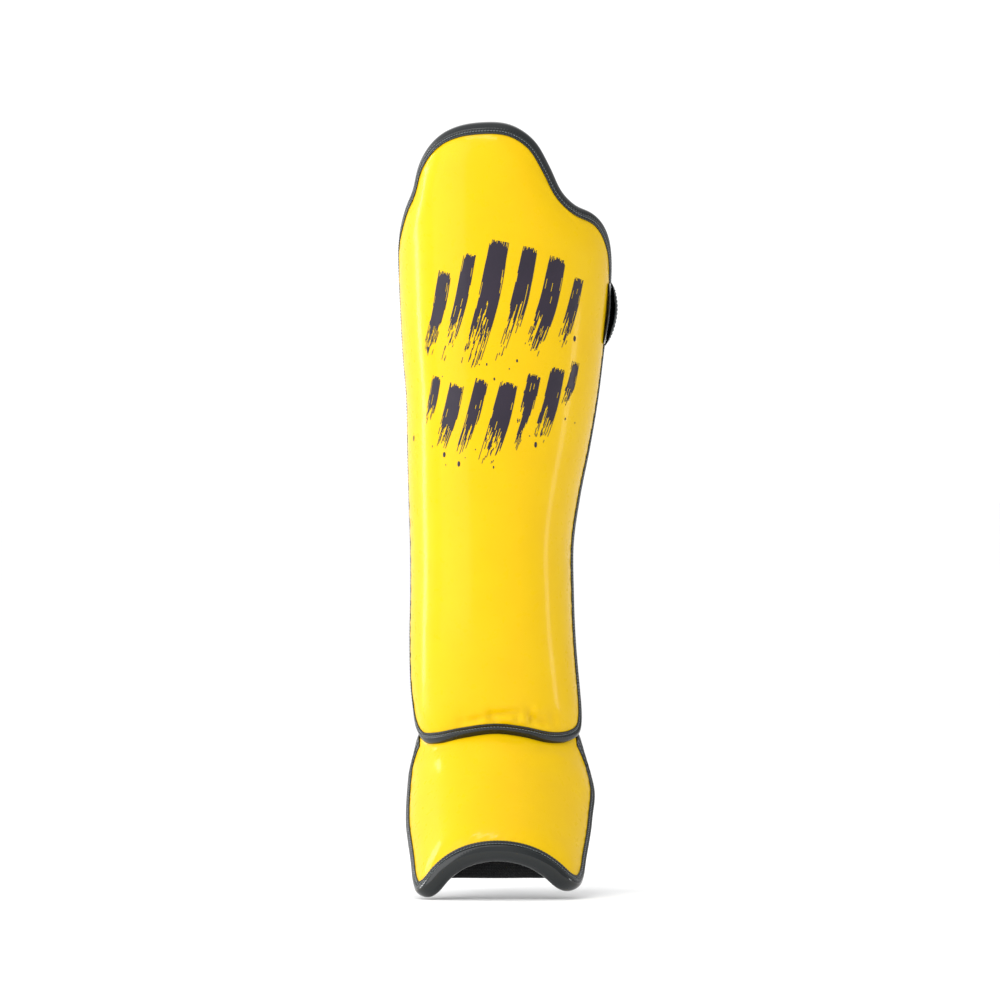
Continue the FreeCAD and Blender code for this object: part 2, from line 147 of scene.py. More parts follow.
# The instep pad's top edge by angle, the shin pad's hem by angle, and how far below it the instep pad bends.
INSTEP_TOP = ((0, 20, 40, 52, 62, 70, 79), (1, -0.5, -1, -6, -12, -17, -15))
HEM = ((-79, -67, -50, -25, 0, 20, 40, 62, 75, 83), (4, -3, -3.5, 0, 2.6, 0.5, -3, -2, 2.4, 16))
FOLD_REACH, FOLD_REACH_LOSS = 26.0, 11.0
RIGHT_FLARE, LEFT_FLARE, SHOULDER_FLARE = 6.4, 3.6, 2.6


def instep_plain(angle, along, depth):
    """The instep pad before its top is drawn up, flared at both sides and drawn in again towards the toes."""
    turn = np.radians(angle)
    taper = 1 - 0.06 * np.clip(1 - np.clip(along + 30, 0, None) / 70, 0, None)
    width = INSTEP_WIDTH * taper - INSTEP_SIDE * depth
    flare = np.where(turn > 0, RIGHT_FLARE + SHOULDER_FLARE * np.exp(-((along - 12) / 16) ** 2), LEFT_FLARE)
    flare = flare * np.abs(np.sin(turn)) ** 4 * (1 - 0.5 * depth)
    flare = flare * (1 - np.where(turn > 0, 0.85, 1.3) * step((along - 18) / 84))
    fall = INSTEP_DEPTH * taper - (INSTEP_DEPTH * taper - INSTEP_FRONT * depth) * np.cos(turn)
    side = width * np.sin(turn) + flare * np.sign(turn)
    across = np.stack([side, 0 * side, 0 * side], axis=-1)
    return RIDGE + along[..., None] * DOWN + across - fall[..., None] * OUTWARD


def instep_surface(angle, along, depth):
    """The instep pad, its top edge drawn up into the shin pad's hem."""
    angle, along = np.asarray(angle, float), np.asarray(along, float)
    depth = depth + 0 * angle
    top = smooth(*INSTEP_TOP, np.abs(angle))
    hem_angle = angle * 1.04
    hem = shin_surface(hem_angle, smooth(*HEM, hem_angle) - 1.0, 0.52)
    shift = hem - instep_plain(angle, top, 0.5 + 0 * angle)
    reach = FOLD_REACH - FOLD_REACH_LOSS * step((np.abs(angle) - 38) / 30)
    weight = 1 - step((along - top) / reach)
    plain = instep_plain(angle, along, 0.5 + (depth - 0.5) * (1 - 0.45 * weight))
    return plain + shift * weight[..., None]


class Pad:
    """A padded sheet on a surface of (angle, height), cut to an outline, whose edge is pinched thin."""

    def __init__(self, surface, thickness, radius, outline, corners, edge, reach, outer_share):
        """edge is the thickness there, reach how far in the pinch goes, outer_share the outer face's part of it."""
        self.surface, self.thickness, self.radius = surface, thickness, radius
        self.edge, self.reach, self.outer_share = edge, reach, outer_share
        self.outline = soften(spaced(outline, 1500, True), 5)
        self.border = spaced(self.to_mm(self.outline), 1500, True)
        self.corner = [self.nearest(place) for place in corners]

    def nearest(self, flat):
        """The number of the outline's point nearest to a place."""
        return int(np.argmin(((self.outline - np.array(flat)) ** 2).sum(1)))

    def to_mm(self, flat):
        """(angle, height) to millimetres along the surface."""
        flat = np.asarray(flat, float)
        return np.stack([np.radians(flat[..., 0]) * self.radius(flat[..., 1]), flat[..., 1]], axis=-1)

    def to_flat(self, mm):
        return np.stack([np.degrees(mm[..., 0] / self.radius(mm[..., 1])), mm[..., 1]], axis=-1)

    def distance(self, mm):
        """Millimetres from each point to the outline."""
        points = mm.reshape(-1, 2)
        result = np.empty(len(points))
        for start in range(0, len(points), 2000):
            gap = points[start:start + 2000, None] - self.border[None]
            result[start:start + 2000] = np.sqrt((gap ** 2).sum(-1)).min(1)
        return result.reshape(mm.shape[:-1])

    def pinch(self, angle, distance, face):
        """Depth from 0 to 1 of the outer face (face 0) or inner face (face 1), pressed in near the edge."""
        thick = self.thickness(angle)
        spare = np.clip(thick - self.edge, 0, None) / thick
        x = np.clip(distance / self.reach(angle), 0, 1)
        curve = 0.45 * (1 - x) ** 2 + 0.55 * (1 - np.sqrt(np.clip(1 - (1 - x) ** 2, 0, 1)))
        share = self.outer_share(angle)
        return share * spare * curve if face == 0 else 1 - (1 - share) * spare * curve

    def grid(self, fine=0.9, coarse=2.4):
        """(angle, height) grid over the outline, closely spaced near the edge."""
        o, (bl, br, tr, tl) = self.outline, self.corner

        def run(a, b):
            """The outline from corner a to corner b, the way that doesn't pass the other corners."""
            n = len(o)
            forward = [(a + i) % n for i in range((b - a) % n + 1)]
            backward = [(a - i) % n for i in range((a - b) % n + 1)]
            others = {bl, br, tr, tl} - {a, b}
            return o[forward if not others & set(forward) else backward]

        def read(curve, places):
            mm = self.to_mm(curve)
            along = np.concatenate([[0], np.cumsum(np.linalg.norm(np.diff(mm, axis=0), axis=1))])
            return np.stack([np.interp(places * along[-1], along, curve[:, i]) for i in (0, 1)], axis=1), along[-1]

        bottom, right, top, left = run(bl, br), run(br, tr), run(tl, tr), run(bl, tl)
        across = graded(read(bottom, np.array([0.0]))[1], fine, coarse, 22)
        upward = graded(read(left, np.array([0.0]))[1], fine, coarse, 22)
        b, t = read(bottom, across)[0][None], read(top, across)[0][None]
        l, r = read(left, upward)[0][:, None], read(right, upward)[0][:, None]
        u, v = across[None, :, None], upward[:, None, None]
        corners = (1 - u) * (1 - v) * o[bl] + u * (1 - v) * o[br] + (1 - u) * v * o[tl] + u * v * o[tr]
        return (1 - v) * b + v * t + (1 - u) * l + u * r - corners


def mesh_object(name, vertices, faces, material):
    """A smooth-shaded object from vertices in millimetres."""
    mesh = bpy.data.meshes.new(name)
    mesh.from_pydata((np.asarray(vertices, float).reshape(-1, 3) * MM).tolist(), [], faces)
    mesh.validate()
    mesh.materials.append(material)
    obj = bpy.data.objects.new(name, mesh)
    bpy.context.scene.collection.objects.link(obj)
    mesh.shade_smooth()
    return obj


def quads(rows, columns, wrap_rows=False, wrap_columns=False, offset=0, flip=False):
    """The faces of a grid of rows x columns vertices."""
    i = np.arange(rows if wrap_rows else rows - 1)
    j = np.arange(columns if wrap_columns else columns - 1)
    i, j = np.meshgrid(i, j, indexing="ij")
    i2, j2 = (i + 1) % rows, (j + 1) % columns
    faces = np.stack([i * columns + j, i * columns + j2, i2 * columns + j2, i2 * columns + j], axis=-1)
    faces = faces.reshape(-1, 4) + offset
    return (faces[:, ::-1] if flip else faces).tolist()


def slab(name, outer, inner, material):
    """A closed shell between two grids of the same size, the outer one wound to face away from the inner."""
    rows, columns = outer.shape[:2]
    count = rows * columns
    faces = quads(rows, columns) + quads(rows, columns, offset=count, flip=True)
    ring = ([(0, j) for j in range(columns)] + [(i, columns - 1) for i in range(1, rows)]
            + [(rows - 1, j) for j in range(columns - 2, -1, -1)] + [(i, 0) for i in range(rows - 2, 0, -1)])
    ids = [i * columns + j for i, j in ring]
    for a, b in zip(ids, ids[1:] + ids[:1]):
        faces.append([b, a, a + count, b + count])
    return mesh_object(name, np.concatenate([outer.reshape(-1, 3), inner.reshape(-1, 3)]), faces, material)


def tube(name, sections, material, closed):
    """A solid swept through sections of shape (places, points round, 3)."""
    places, around = sections.shape[:2]
    faces = quads(places, around, wrap_rows=closed, wrap_columns=True)
    if not closed:
        faces.append(list(range(around)))
        faces.append([(places - 1) * around + i for i in range(around - 1, -1, -1)])
    return mesh_object(name, sections, faces, material)


def capsules(name, starts, ends, normals, radius, lift):
    """Short threads from start to end, each bowed up a little along its normal."""
    around, rings = 6, ((0.0, 0.25), (0.12, 0.8), (0.5, 1.0), (0.88, 0.8), (1.0, 0.25))
    vertices, faces = [], []
    axis = unit(ends - starts)
    side = unit(np.cross(axis, normals))
    up = np.cross(side, axis)
    for t, width in rings:
        centre = starts + (ends - starts) * t + up * (lift * math.sin(math.pi * t))
        for k in range(around):
            turn = 2 * math.pi * k / around
            vertices.append(centre + (side * math.cos(turn) + up * math.sin(turn)) * radius * width)
    block = np.stack(vertices, axis=1)
    per = block.shape[1]
    pattern = quads(len(rings), around, wrap_columns=True)
    pattern += [list(range(around)), [(len(rings) - 1) * around + i for i in range(around - 1, -1, -1)]]
    for i in range(len(starts)):
        faces += [[v + i * per for v in face] for face in pattern]
    threads = mesh_object(name, block.reshape(-1, 3), faces, THREAD)
    return threads


# ---------------------------------------------------------------- materials

def rgb(red, green, blue):
    """Display colour, 0 to 255, to scene-linear."""
    linear = [c / 255 / 12.92 if c < 10.3 else ((c / 255 + 0.055) / 1.055) ** 2.4 for c in (red, green, blue)]
    return (*linear, 1.0)


class Shader:
    """A Principled material whose node links are added by name."""

    def __init__(self, name, **sockets):
        self.material = bpy.data.materials.new(name)
        self.material.use_nodes = True
        self.tree = self.material.node_tree
        self.shader = self.tree.nodes["Principled BSDF"]
        self.place = self.node("ShaderNodeTexCoord").outputs["Object"]
        for socket, value in sockets.items():
            self.shader.inputs[socket.replace("_", " ")].default_value = value

    def node(self, kind, **inputs):
        node = self.tree.nodes.new(kind)
        for name, value in inputs.items():
            socket = node.inputs[name.replace("_", " ")]
            if isinstance(value, bpy.types.NodeSocket):
                self.tree.links.new(value, socket)
            else:
                socket.default_value = value
        return node

    def noise(self, scale, detail):
        node = self.node("ShaderNodeTexNoise", Scale=scale, Detail=detail, Roughness=0.55, Vector=self.place)
        return node.outputs["Fac"]

    def cells(self, scale, feature="F1"):
        node = self.node("ShaderNodeTexVoronoi", Scale=scale, Vector=self.place)
        node.feature = feature
        return node.outputs["Distance"]

    def remap(self, value, low, high, to_low, to_high):
        node = self.node("ShaderNodeMapRange", Value=value, From_Min=low, From_Max=high,
                         To_Min=to_low, To_Max=to_high)
        return node.outputs["Result"]

    def mix(self, factor, a, b):
        node = self.tree.nodes.new("ShaderNodeMix")
        node.data_type = "RGBA"
        for socket, value in zip((node.inputs[0], node.inputs[6], node.inputs[7]), (factor, a, b)):
            if isinstance(value, bpy.types.NodeSocket):
                self.tree.links.new(value, socket)
            else:
                socket.default_value = value
        return node.outputs[2]

    def math(self, operation, a, b=0.0):
        node = self.tree.nodes.new("ShaderNodeMath")
        node.operation = operation
        for socket, value in zip(node.inputs, (a, b)):
            if isinstance(value, bpy.types.NodeSocket):
                self.tree.links.new(value, socket)
            else:
                socket.default_value = value
        return node.outputs[0]

    def bump(self, height, distance, strength=1.0, under=None):
        node = self.node("ShaderNodeBump", Height=height, Distance=distance, Strength=strength)
        if under is not None:
            self.tree.links.new(under, node.inputs["Normal"])
        return node.outputs["Normal"]

    def set(self, socket, value):
        self.tree.links.new(value, self.shader.inputs[socket])


def vinyl(name, colour, deep, roughness, grain, coat, specular):
    """Smooth synthetic leather: fine pebble grain, faint blotches and a glossy top coat."""
    s = Shader(name, Coat_Weight=coat, Coat_Roughness=0.1, Specular_IOR_Level=specular)
    blotch = s.noise(38, 4)
    s.set("Base Color", s.mix(s.remap(blotch, 0.35, 0.7, 0.0, 0.55), colour, deep))
    s.set("Roughness", s.remap(s.noise(190, 3), 0.3, 0.75, roughness - 0.05, roughness + 0.09))
    pebble = s.cells(1150, "SMOOTH_F1")
    fine = s.bump(s.noise(2600, 2), 0.00003, 0.5)
    s.set("Normal", s.bump(pebble, grain, 0.6, under=fine))
    return s.material


def weave(name, colour, dark, pitch, relief, roughness=0.75, sheen=0.25):
    """Plain woven or ribbed cloth: two crossed sets of threads."""
    s = Shader(name, Sheen_Weight=sheen, Sheen_Roughness=0.5)
    split = s.node("ShaderNodeSeparateXYZ", Vector=s.place)
    waves = []
    for axis, scale in (("X", 1.0), ("Z", 1.35)):
        turns = s.math("MULTIPLY", split.outputs[axis], 2 * math.pi / (pitch * scale))
        waves.append(s.math("SINE", turns))
    height = s.math("ADD", s.math("MULTIPLY", waves[0], waves[1]), s.math("MULTIPLY", s.noise(900, 2), 0.8))
    # Painted shade: the cloth takes the dark colour where its threads lie low, and its tone also varies at random
    # with the noise.
    s.set("Base Color", s.mix(s.remap(height, -0.8, 1.4, 0.0, 1.0), dark, colour))
    s.set("Roughness", s.remap(s.noise(60, 3), 0.3, 0.7, roughness - 0.06, roughness + 0.08))
    s.set("Normal", s.bump(height, relief, 0.7))
    return s.material


def pile(name, colour, tip, scale, relief, roughness=0.9, sheen=0.4):
    """Hook or loop tape: a dense field of tiny tufts."""
    s = Shader(name, Roughness=roughness, Sheen_Weight=sheen)
    tufts = s.cells(scale)
    height = s.remap(tufts, 0.0, 0.7, 1.0, 0.0)
    # Painted highlight and shade: each tuft's top takes the lighter tip colour, and the gaps between tufts stay
    # darker.
    s.set("Base Color", s.mix(height, colour, tip))
    s.set("Normal", s.bump(height, relief, 0.9, under=s.bump(s.noise(2400, 2), relief / 3, 0.6)))
    return s.material


YELLOW = vinyl("yellow_vinyl", rgb(226, 186, 3), rgb(223, 179, 2), 0.3, grain=0.000018, coat=0.17, specular=0.1)
BLACK = vinyl("black_vinyl", rgb(7, 16, 18), rgb(4, 9, 11), 0.2, grain=0.00003, coat=0.8, specular=0.1)
LINING = weave("lining", rgb(17, 26, 34), rgb(7, 11, 16), pitch=0.0012, relief=0.00012, sheen=0.15)
ELASTIC = weave("black_elastic", rgb(34, 37, 40), rgb(13, 15, 17), pitch=0.0016, relief=0.0003)
GREY_ELASTIC = weave("grey_elastic", rgb(206, 209, 212), rgb(142, 147, 153), pitch=0.0016, relief=0.0003)
LOOP = pile("loop_tape", rgb(20, 20, 22), rgb(52, 53, 56), 900, 0.0006)
HOOK = pile("hook_tape", rgb(16, 16, 17), rgb(44, 44, 46), 620, 0.0007, roughness=0.55, sheen=0.0)
FOAM = pile("foam", rgb(70, 70, 72), rgb(92, 92, 95), 1500, 0.0001, sheen=0.0)
# The thread's light grey is a painted highlight: it is lighter than the near-black thread and stands in for the
# glints on the stitches.
THREAD = weave("thread", rgb(132, 142, 146), rgb(70, 78, 82), pitch=0.0005, roughness=0.5, relief=0.0001)
PRINT = vinyl("print_ink", rgb(44, 36, 50), rgb(32, 28, 40), 0.42, grain=0.00004, coat=0.08, specular=0.25)


# ---------------------------------------------------------------- the two pads

def shin_thickness(angle):
    turn = np.radians(angle)
    return np.sqrt((SHIN_SIDE * np.sin(turn)) ** 2 + (SHIN_FRONT * np.cos(turn)) ** 2)


def instep_thickness(angle):
    turn = np.radians(angle)
    return np.sqrt((INSTEP_SIDE * np.sin(turn)) ** 2 + (INSTEP_FRONT * np.cos(turn)) ** 2)


def shin_radius(z):
    return (smooth(SHIN_STATIONS, LEFT_HALF_WIDTH, z) + smooth(SHIN_STATIONS, RIGHT_HALF_WIDTH, z)) / 2


def instep_radius(along):
    return INSTEP_WIDTH + 0 * np.asarray(along)


def shin_reach(angle):
    """The pinch is short at the left side, where the cover comes right round to the edge."""
    return 22.0 - 13.0 * step((-angle - 68) / 16)


def shin_outer_share(angle):
    """At the right side the outer face stays almost flush and the inner face is pressed in."""
    return 0.62 - 0.5 * step((angle - 48) / 30)


def instep_reach(angle):
    return 20.0 + 0 * angle


def instep_outer_share(angle):
    return 0.6 - 0.35 * step((np.abs(angle) - 45) / 25)


SHIN = Pad(shin_surface, shin_thickness, shin_radius, SHIN_OUTLINE,
           ((-79, 4), (79, 8), (80, 304), (-89, 302)), 9.0, shin_reach, shin_outer_share)
INSTEP = Pad(instep_surface, instep_thickness, instep_radius, INSTEP_OUTLINE,
             ((-68, 98), (68, 93), (72, -16), (-72, -16)), 8.0, instep_reach, instep_outer_share)


def bumps(where, spots):
    """The sum of soft round or long dents: (x, z, length, width, turn in degrees, height)."""
    total = np.zeros(where.shape[:-1])
    for x, z, length, width, turn, height in spots:
        c, s = math.cos(math.radians(turn)), math.sin(math.radians(turn))
        dx, dz = where[..., 0] - x, where[..., 1] - z
        total += height * np.exp(-((dx * c + dz * s) / length) ** 2 - ((dz * c - dx * s) / width) ** 2)
    return total


# Creases above the shin pad's hem: (x, height, half-length, half-width, turn, height of the bump, or depth).
HEM_CREASES = (
    (-14, 10.0, 7, 1.6, 8, -1.8), (-3, 10.5, 1.6, 5.0, 12, -3.4), (5, 14.0, 10, 1.8, 4, -2.2),
    (6, 9.5, 7, 2.2, 2, 1.0), (-9, 7.5, 4.5, 2.4, 0, 0.8), (22, 11.5, 1.7, 6.5, 20, -3.2),
    (30, 8.5, 5, 1.7, -25, -2.2), (27, 16, 4, 3, 0, 0.9), (16, 8.5, 3.5, 2.2, 0, 0.9),
    (39, 10, 2.0, 5, 30, -1.6), (-24, 8, 2.0, 4.5, -8, -1.2), (13, 11, 1.3, 4, -15, -1.7),
)


def shin_relief(flat, distance):
    """Millimetres that the shin pad's cover stands out by: hem creases and the puckers of its seam."""
    mm = SHIN.to_mm(flat)
    relief = bumps(mm, HEM_CREASES)
    relief += pucker(mm, distance, 9.0, 0.22)
    return relief + 0.35 * np.sin(mm[..., 1] / 47 + 1.3 * np.sin(mm[..., 0] / 31)) * step(distance / 30)


def pucker(mm, distance, length, height):
    """Shallow gathers that run in from the seam."""
    run = mm[..., 0] * 0.9 + mm[..., 1]
    phase = run * 2 * math.pi / length
    wave = np.sin(phase + 1.7 * np.sin(run / 17)) + 0.5 * np.sin(phase * 1.63 + 1)
    return height * wave * np.exp(-((distance - 7.0) / 5.0) ** 2)


# The same for the instep pad, below the fold.
INSTEP_CREASES = (
    (40, 2, 9, 2.2, -28, -0.9), (44, 8, 8, 3, -28, 0.6), (-40, 4, 9, 2.2, 24, -0.6), (30, 9, 12, 2.4, -14, -0.35),
    (8, 7, 14, 2.6, 3, -0.3), (-44, 11, 8, 3, 24, 0.4),
)


def instep_relief(flat, distance):
    mm = INSTEP.to_mm(flat)
    return bumps(mm, INSTEP_CREASES) + pucker(mm, distance, 8.0, 0.2)


# The cover has no relief under the binding, this far in from the edge. Millimetres of cover and lining.
FLAT_HEM, COVER, LINING_CLOTH, GAP = 4.3, 1.1, 1.0, 0.1


def pad_layers(pad, prefix, relief, hold):
    """The cover, foam core and lining of one pad, as closed shells."""
    flat = pad.grid()
    angle, height = flat[..., 0], flat[..., 1]
    distance = pad.distance(pad.to_mm(flat))
    thick = pad.thickness(angle)
    rise = relief(flat, distance) * step((distance - FLAT_HEM) / 2.8)
    face = [pad.pinch(angle, distance, side) for side in (0, 1)]
    outer, inner = face[0] - rise / thick, face[1]

    def layer(depth, lift):
        return pad.surface(angle, height, depth + lift / thick)

    cover = slab(f"{prefix}_cover", layer(outer, 0), layer(outer, COVER), YELLOW)
    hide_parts(f"{prefix}_cover")
    core = slab(f"{prefix}_foam_core", layer(outer, COVER + GAP), layer(inner, -LINING_CLOTH - GAP), FOAM)
    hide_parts(f"{prefix}_impact_foam", f"{prefix}_comfort_foam")
    lining = slab(f"{prefix}_lining", layer(inner, -LINING_CLOTH), layer(inner, 0), LINING)
    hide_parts(f"{prefix}_lining")
    for piece in (cover, core, lining):
        hold(piece)


# The binding's section: (millimetres in from the pad's edge, millimetres above the cover, pucker).
FLANGE = ((5.0, -0.25, 0), (5.1, 0.35, 1), (4.8, 0.85, 1), (4.1, 0.95, 1), (3.5, 0.5, 1.2), (3.1, 0.28, 1.4),
          (2.6, 0.6, 1), (2.0, 1.15, 0.6), (1.1, 1.6, 0.2))
ROLL_OUT, ROLL_UP = 2.9, 1.55  # how far the roll stands out past the edge, and above and below it
INNER_FLANGE = ((1.2, 1.3), (2.4, 0.9), (3.2, 0.35), (4.0, 0.8), (4.8, 0.7), (5.0, -0.2))
# The stitches' pitch, half of one stitch, the line's inset from the edge, and how deep each pulls the tape in.
STITCH, STITCH_HALF, STITCH_INSET, STITCH_PULL = 2.05, 0.72, 3.1, 0.16


def bind(pad, name, count, closed, first=None, last=None):
    """The folded vinyl tape round a pad's edge, its pucker timed to the stitches, and the thread."""
    path = pad.outline
    if not closed:
        n = len(path)
        path = np.array([path[(first + i) % n] for i in range((last - first) % n + 1)])
    mm = spaced(pad.to_mm(path), count, closed)
    mm = soften(mm, 3, closed)
    if closed:
        ahead, behind = np.roll(mm, -1, axis=0), np.roll(mm, 1, axis=0)
    else:
        ahead = np.vstack([mm[1:], 2 * mm[-1] - mm[-2]])
        behind = np.vstack([2 * mm[0] - mm[1], mm[:-1]])
    along = unit(ahead - behind)
    inward = np.stack([-along[:, 1], along[:, 0]], axis=1)
    probe = mm + inward * 3.0
    sign = np.sign(np.median(pad.distance(probe) * np.where(inside(pad, probe), 1, -1)))
    inward *= sign
    length = np.concatenate([[0], np.cumsum(np.linalg.norm(np.diff(mm, axis=0), axis=1))])
    total = length[-1] + (np.linalg.norm(mm[0] - mm[-1]) if closed else 0)
    stitches = max(int(round(total / STITCH)), 1)
    phase = length / total * stitches * 2 * math.pi

    def on(inset, lift, face):
        """Points inset from the edge and lifted off a face."""
        flat = pad.to_flat(mm + inward * inset)
        depth = pad.pinch(flat[:, 0], np.full(len(flat), max(inset, 0.0)), face)
        lift = lift / pad.thickness(flat[:, 0])
        return pad.surface(flat[:, 0], flat[:, 1], depth - lift if face == 0 else depth + lift)

    rim = [on(0, 0, 0), on(0, 0, 1)]
    centre = (rim[0] + rim[1]) / 2
    normal = unit(rim[0] - rim[1])
    half = np.linalg.norm(rim[0] - rim[1], axis=1, keepdims=True) / 2
    tangent = unit(on(0, 0, 0) - on(2, 0, 0))
    out = unit(tangent - normal * (tangent * normal).sum(1, keepdims=True))
    wobble = 0.10 * np.sin(length / 23 + 2 * np.sin(length / 61)) + 0.08 * np.sin(length / 7.3)
    columns = []
    for inset, lift, fold in FLANGE:
        columns.append(on(inset, lift + STITCH_PULL * fold * np.cos(phase), 0))
    for turn in np.radians(np.linspace(78, -78, 13)):
        bulge = 1 + 0.05 * wobble[:, None]
        columns.append(centre + out * (ROLL_OUT * math.cos(turn)) * bulge
                       + normal * (half + ROLL_UP) * math.sin(turn) * bulge)
    for inset, lift in INNER_FLANGE:
        columns.append(on(inset, lift, 1))
    for inset in (4.0, 1.5):
        columns.append(on(inset, -0.3, 1))
    for inset in (1.5, 4.0):
        columns.append(on(inset, -0.3, 0))
    tape = tube(name, np.stack(columns, axis=1), BLACK, closed)

    at = (np.arange(stitches) + 0.5) / stitches * total
    grown = np.append(length, total) if closed else length
    seam = on(STITCH_INSET, 0.62, 0)
    seam = np.vstack([seam, seam[:1]]) if closed else seam
    up = np.vstack([normal, normal[:1]]) if closed else normal

    def read(values, places):
        return np.stack([np.interp(places, grown, values[:, i]) for i in range(3)], axis=1)

    start, end = read(seam, at - STITCH_HALF), read(seam, at + STITCH_HALF)
    threads = capsules(f"{name}_thread", start, end, read(up, at), 0.27, 0.12)
    return tape, threads


def inside(pad, points):
    """Whether each point, in mm, lies inside the pad's outline."""
    a, b = pad.border, np.roll(pad.border, -1, axis=0)
    x, y = points[:, 0][:, None], points[:, 1][:, None]
    crosses = (a[:, 1] > y) != (b[:, 1] > y)
    rise = np.where(b[:, 1] == a[:, 1], 1e-9, b[:, 1] - a[:, 1])
    reach = (b[:, 0] - a[:, 0]) * (y - a[:, 1]) / rise + a[:, 0]
    return (crosses & (x < reach)).sum(1) % 2 == 1


def hold_shin(piece):
    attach(piece, "shin")


def hold_instep(piece):
    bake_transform(piece)


pad_layers(SHIN, "shin", shin_relief, hold_shin)
pad_layers(INSTEP, "instep", instep_relief, hold_instep)
tape, threads = bind(SHIN, "shin_binding", 2600, True)
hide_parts("shin_binding")
hold_shin(tape)
hold_shin(threads)
right_end, left_end = INSTEP.nearest((73.5, -15.5)), INSTEP.nearest((-73.5, -15.5))
tape, threads = bind(INSTEP, "instep_binding", 900, False, right_end, left_end)
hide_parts("instep_binding")
hold_instep(tape)
hold_instep(threads)


# ---------------------------------------------------------------- the soft joint between the pads

WEB_HALF_ANGLE = 46


def build_web():
    """The cloth strip over the seam, on the leg's side: it lies on both linings."""
    turn = np.linspace(-WEB_HALF_ANGLE, WEB_HALF_ANGLE, 60)
    down = np.linspace(0, 1, 28)
    angle, t = np.meshgrid(turn, down, indexing="ij")
    above = shin_surface(angle, 17 - 9 * np.clip(t * 2, 0, 1), 1.02)
    below = instep_surface(angle, 5 + 11 * np.clip(t * 2 - 1, 0, 1), 1.0)
    middle = step((t - 0.3) / 0.4)[..., None]
    place = above * (1 - middle) + below * middle
    across = np.gradient(place, axis=0)
    along = np.gradient(place, axis=1)
    normal = unit(np.cross(across, along))
    normal *= np.sign(normal[30, 14, 1])
    rim = np.clip(np.minimum(np.minimum(t, 1 - t) / 0.06, (WEB_HALF_ANGLE - np.abs(angle)) / 3), 0, 1)[..., None]
    web = slab("ankle_web", place + normal * 0.5, place + normal * (0.7 + 0.6 * np.sqrt(rim)), LINING)
    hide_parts("ankle_web")
    hold_instep(web)


build_web()


# ---------------------------------------------------------------- the calf straps

RIB_PITCH, RIB_HEIGHT = 2.4, 0.16  # of the elastics' ribs
STRAP_HALF = 20.0  # half of a calf strap's width
HINGE_OUT = 5.8  # how far out from the pad's face the straps' bends lie
TAB_END, ANCHOR_START = 157.5, 246.8


def strap_surface(z, back_depth, tab_inset, root_inset):
    """Points on a strap's path: from the shin pad's outside round the back of the calf, set in at each end."""

    def surface(angle, across, out):
        toward_root = step((angle - 150) / 100)
        inset = tab_inset + (root_inset - tab_inset) * toward_root
        ends = 1 - step((angle - 105) / 40) + step((angle - 225) / 25)
        dome = 1 - 0.72 * np.clip(np.abs(across) / STRAP_HALF, 0, 1) ** 2 * ends
        back = -np.cos(np.radians(angle))
        blend = step((back - 0.2) / 0.8)
        height = z + across
        place = shin_surface(angle, height, 0.0)
        front = smooth(SHIN_STATIONS, FRONT_DEPTH, height)
        depth = front + (back_depth - front) * blend
        offset = out * dome * 0.9 - inset
        scale = 1 + offset / np.hypot(place[..., 0], depth * back)
        return np.stack([place[..., 0] * scale, depth * back * scale, height + 0 * angle], axis=-1)

    return surface


def rounded_grid(low, high, half, radius_low, radius_high, unit_mm):
    """(angle, offset) grid of a strap's stretch with rounded ends, and each place's distance from its edge."""
    length = (high - low) * unit_mm
    along = graded(length, 0.35, 1.0, 4) * length
    v = graded(2 * half, 0.3, 1.2, 3) * 2 - 1

    def half_at(x):
        """The half-width where the corners round off."""
        result = np.full_like(x, half)
        for radius, gap in ((radius_low, x), (radius_high, length - x)):
            near = gap < radius
            drop = radius - np.sqrt(np.clip(radius ** 2 - (radius - gap) ** 2, 0, None))
            result = np.where(near, np.minimum(result, half - drop), result)
        return result

    x = along[:, None] + 0 * v[None]
    y = half_at(along)[:, None] * v[None]
    ends = [np.stack([np.full(40, at), np.linspace(-1, 1, 40) * half_at(np.array([at]))[0]], axis=1)
            for at in (0.0, length)]
    sides = [np.stack([along, sign * half_at(along)], axis=1) for sign in (1, -1)]
    border = np.concatenate(sides + ends)
    flat = np.stack([x, y], axis=-1).reshape(-1, 2)
    distance = np.concatenate([np.sqrt(((flat[k:k + 3000, None] - border[None]) ** 2).sum(-1)).min(1)
                               for k in range(0, len(flat), 3000)]).reshape(x.shape)
    return low + x / unit_mm, y, distance


def flat_piece(name, surface, span, half, radii, start, thickness, material, unit_mm,
               crown=0.0, ribs=None, rounding=0.5):
    """A flat strap piece: a slab on the strap's path with eased edges."""
    angle, across, distance = rounded_grid(span[0], span[1], half, radii[0], radii[1], unit_mm)
    ease = rounding * (1 - np.sqrt(np.clip(1 - (1 - np.clip(distance / (rounding * 1.4), 0, 1)) ** 2, 0, 1)))
    top = start + thickness - ease + crown * step(distance / 5)
    if ribs:
        pitch, height = ribs
        top = top + height * np.sin(2 * math.pi * across / pitch) * step(distance / 1.2)
    outer = surface(angle, across, top)
    inner = surface(angle, across, start + ease * 0.6)
    return slab(name, outer[::-1], inner[::-1], material)


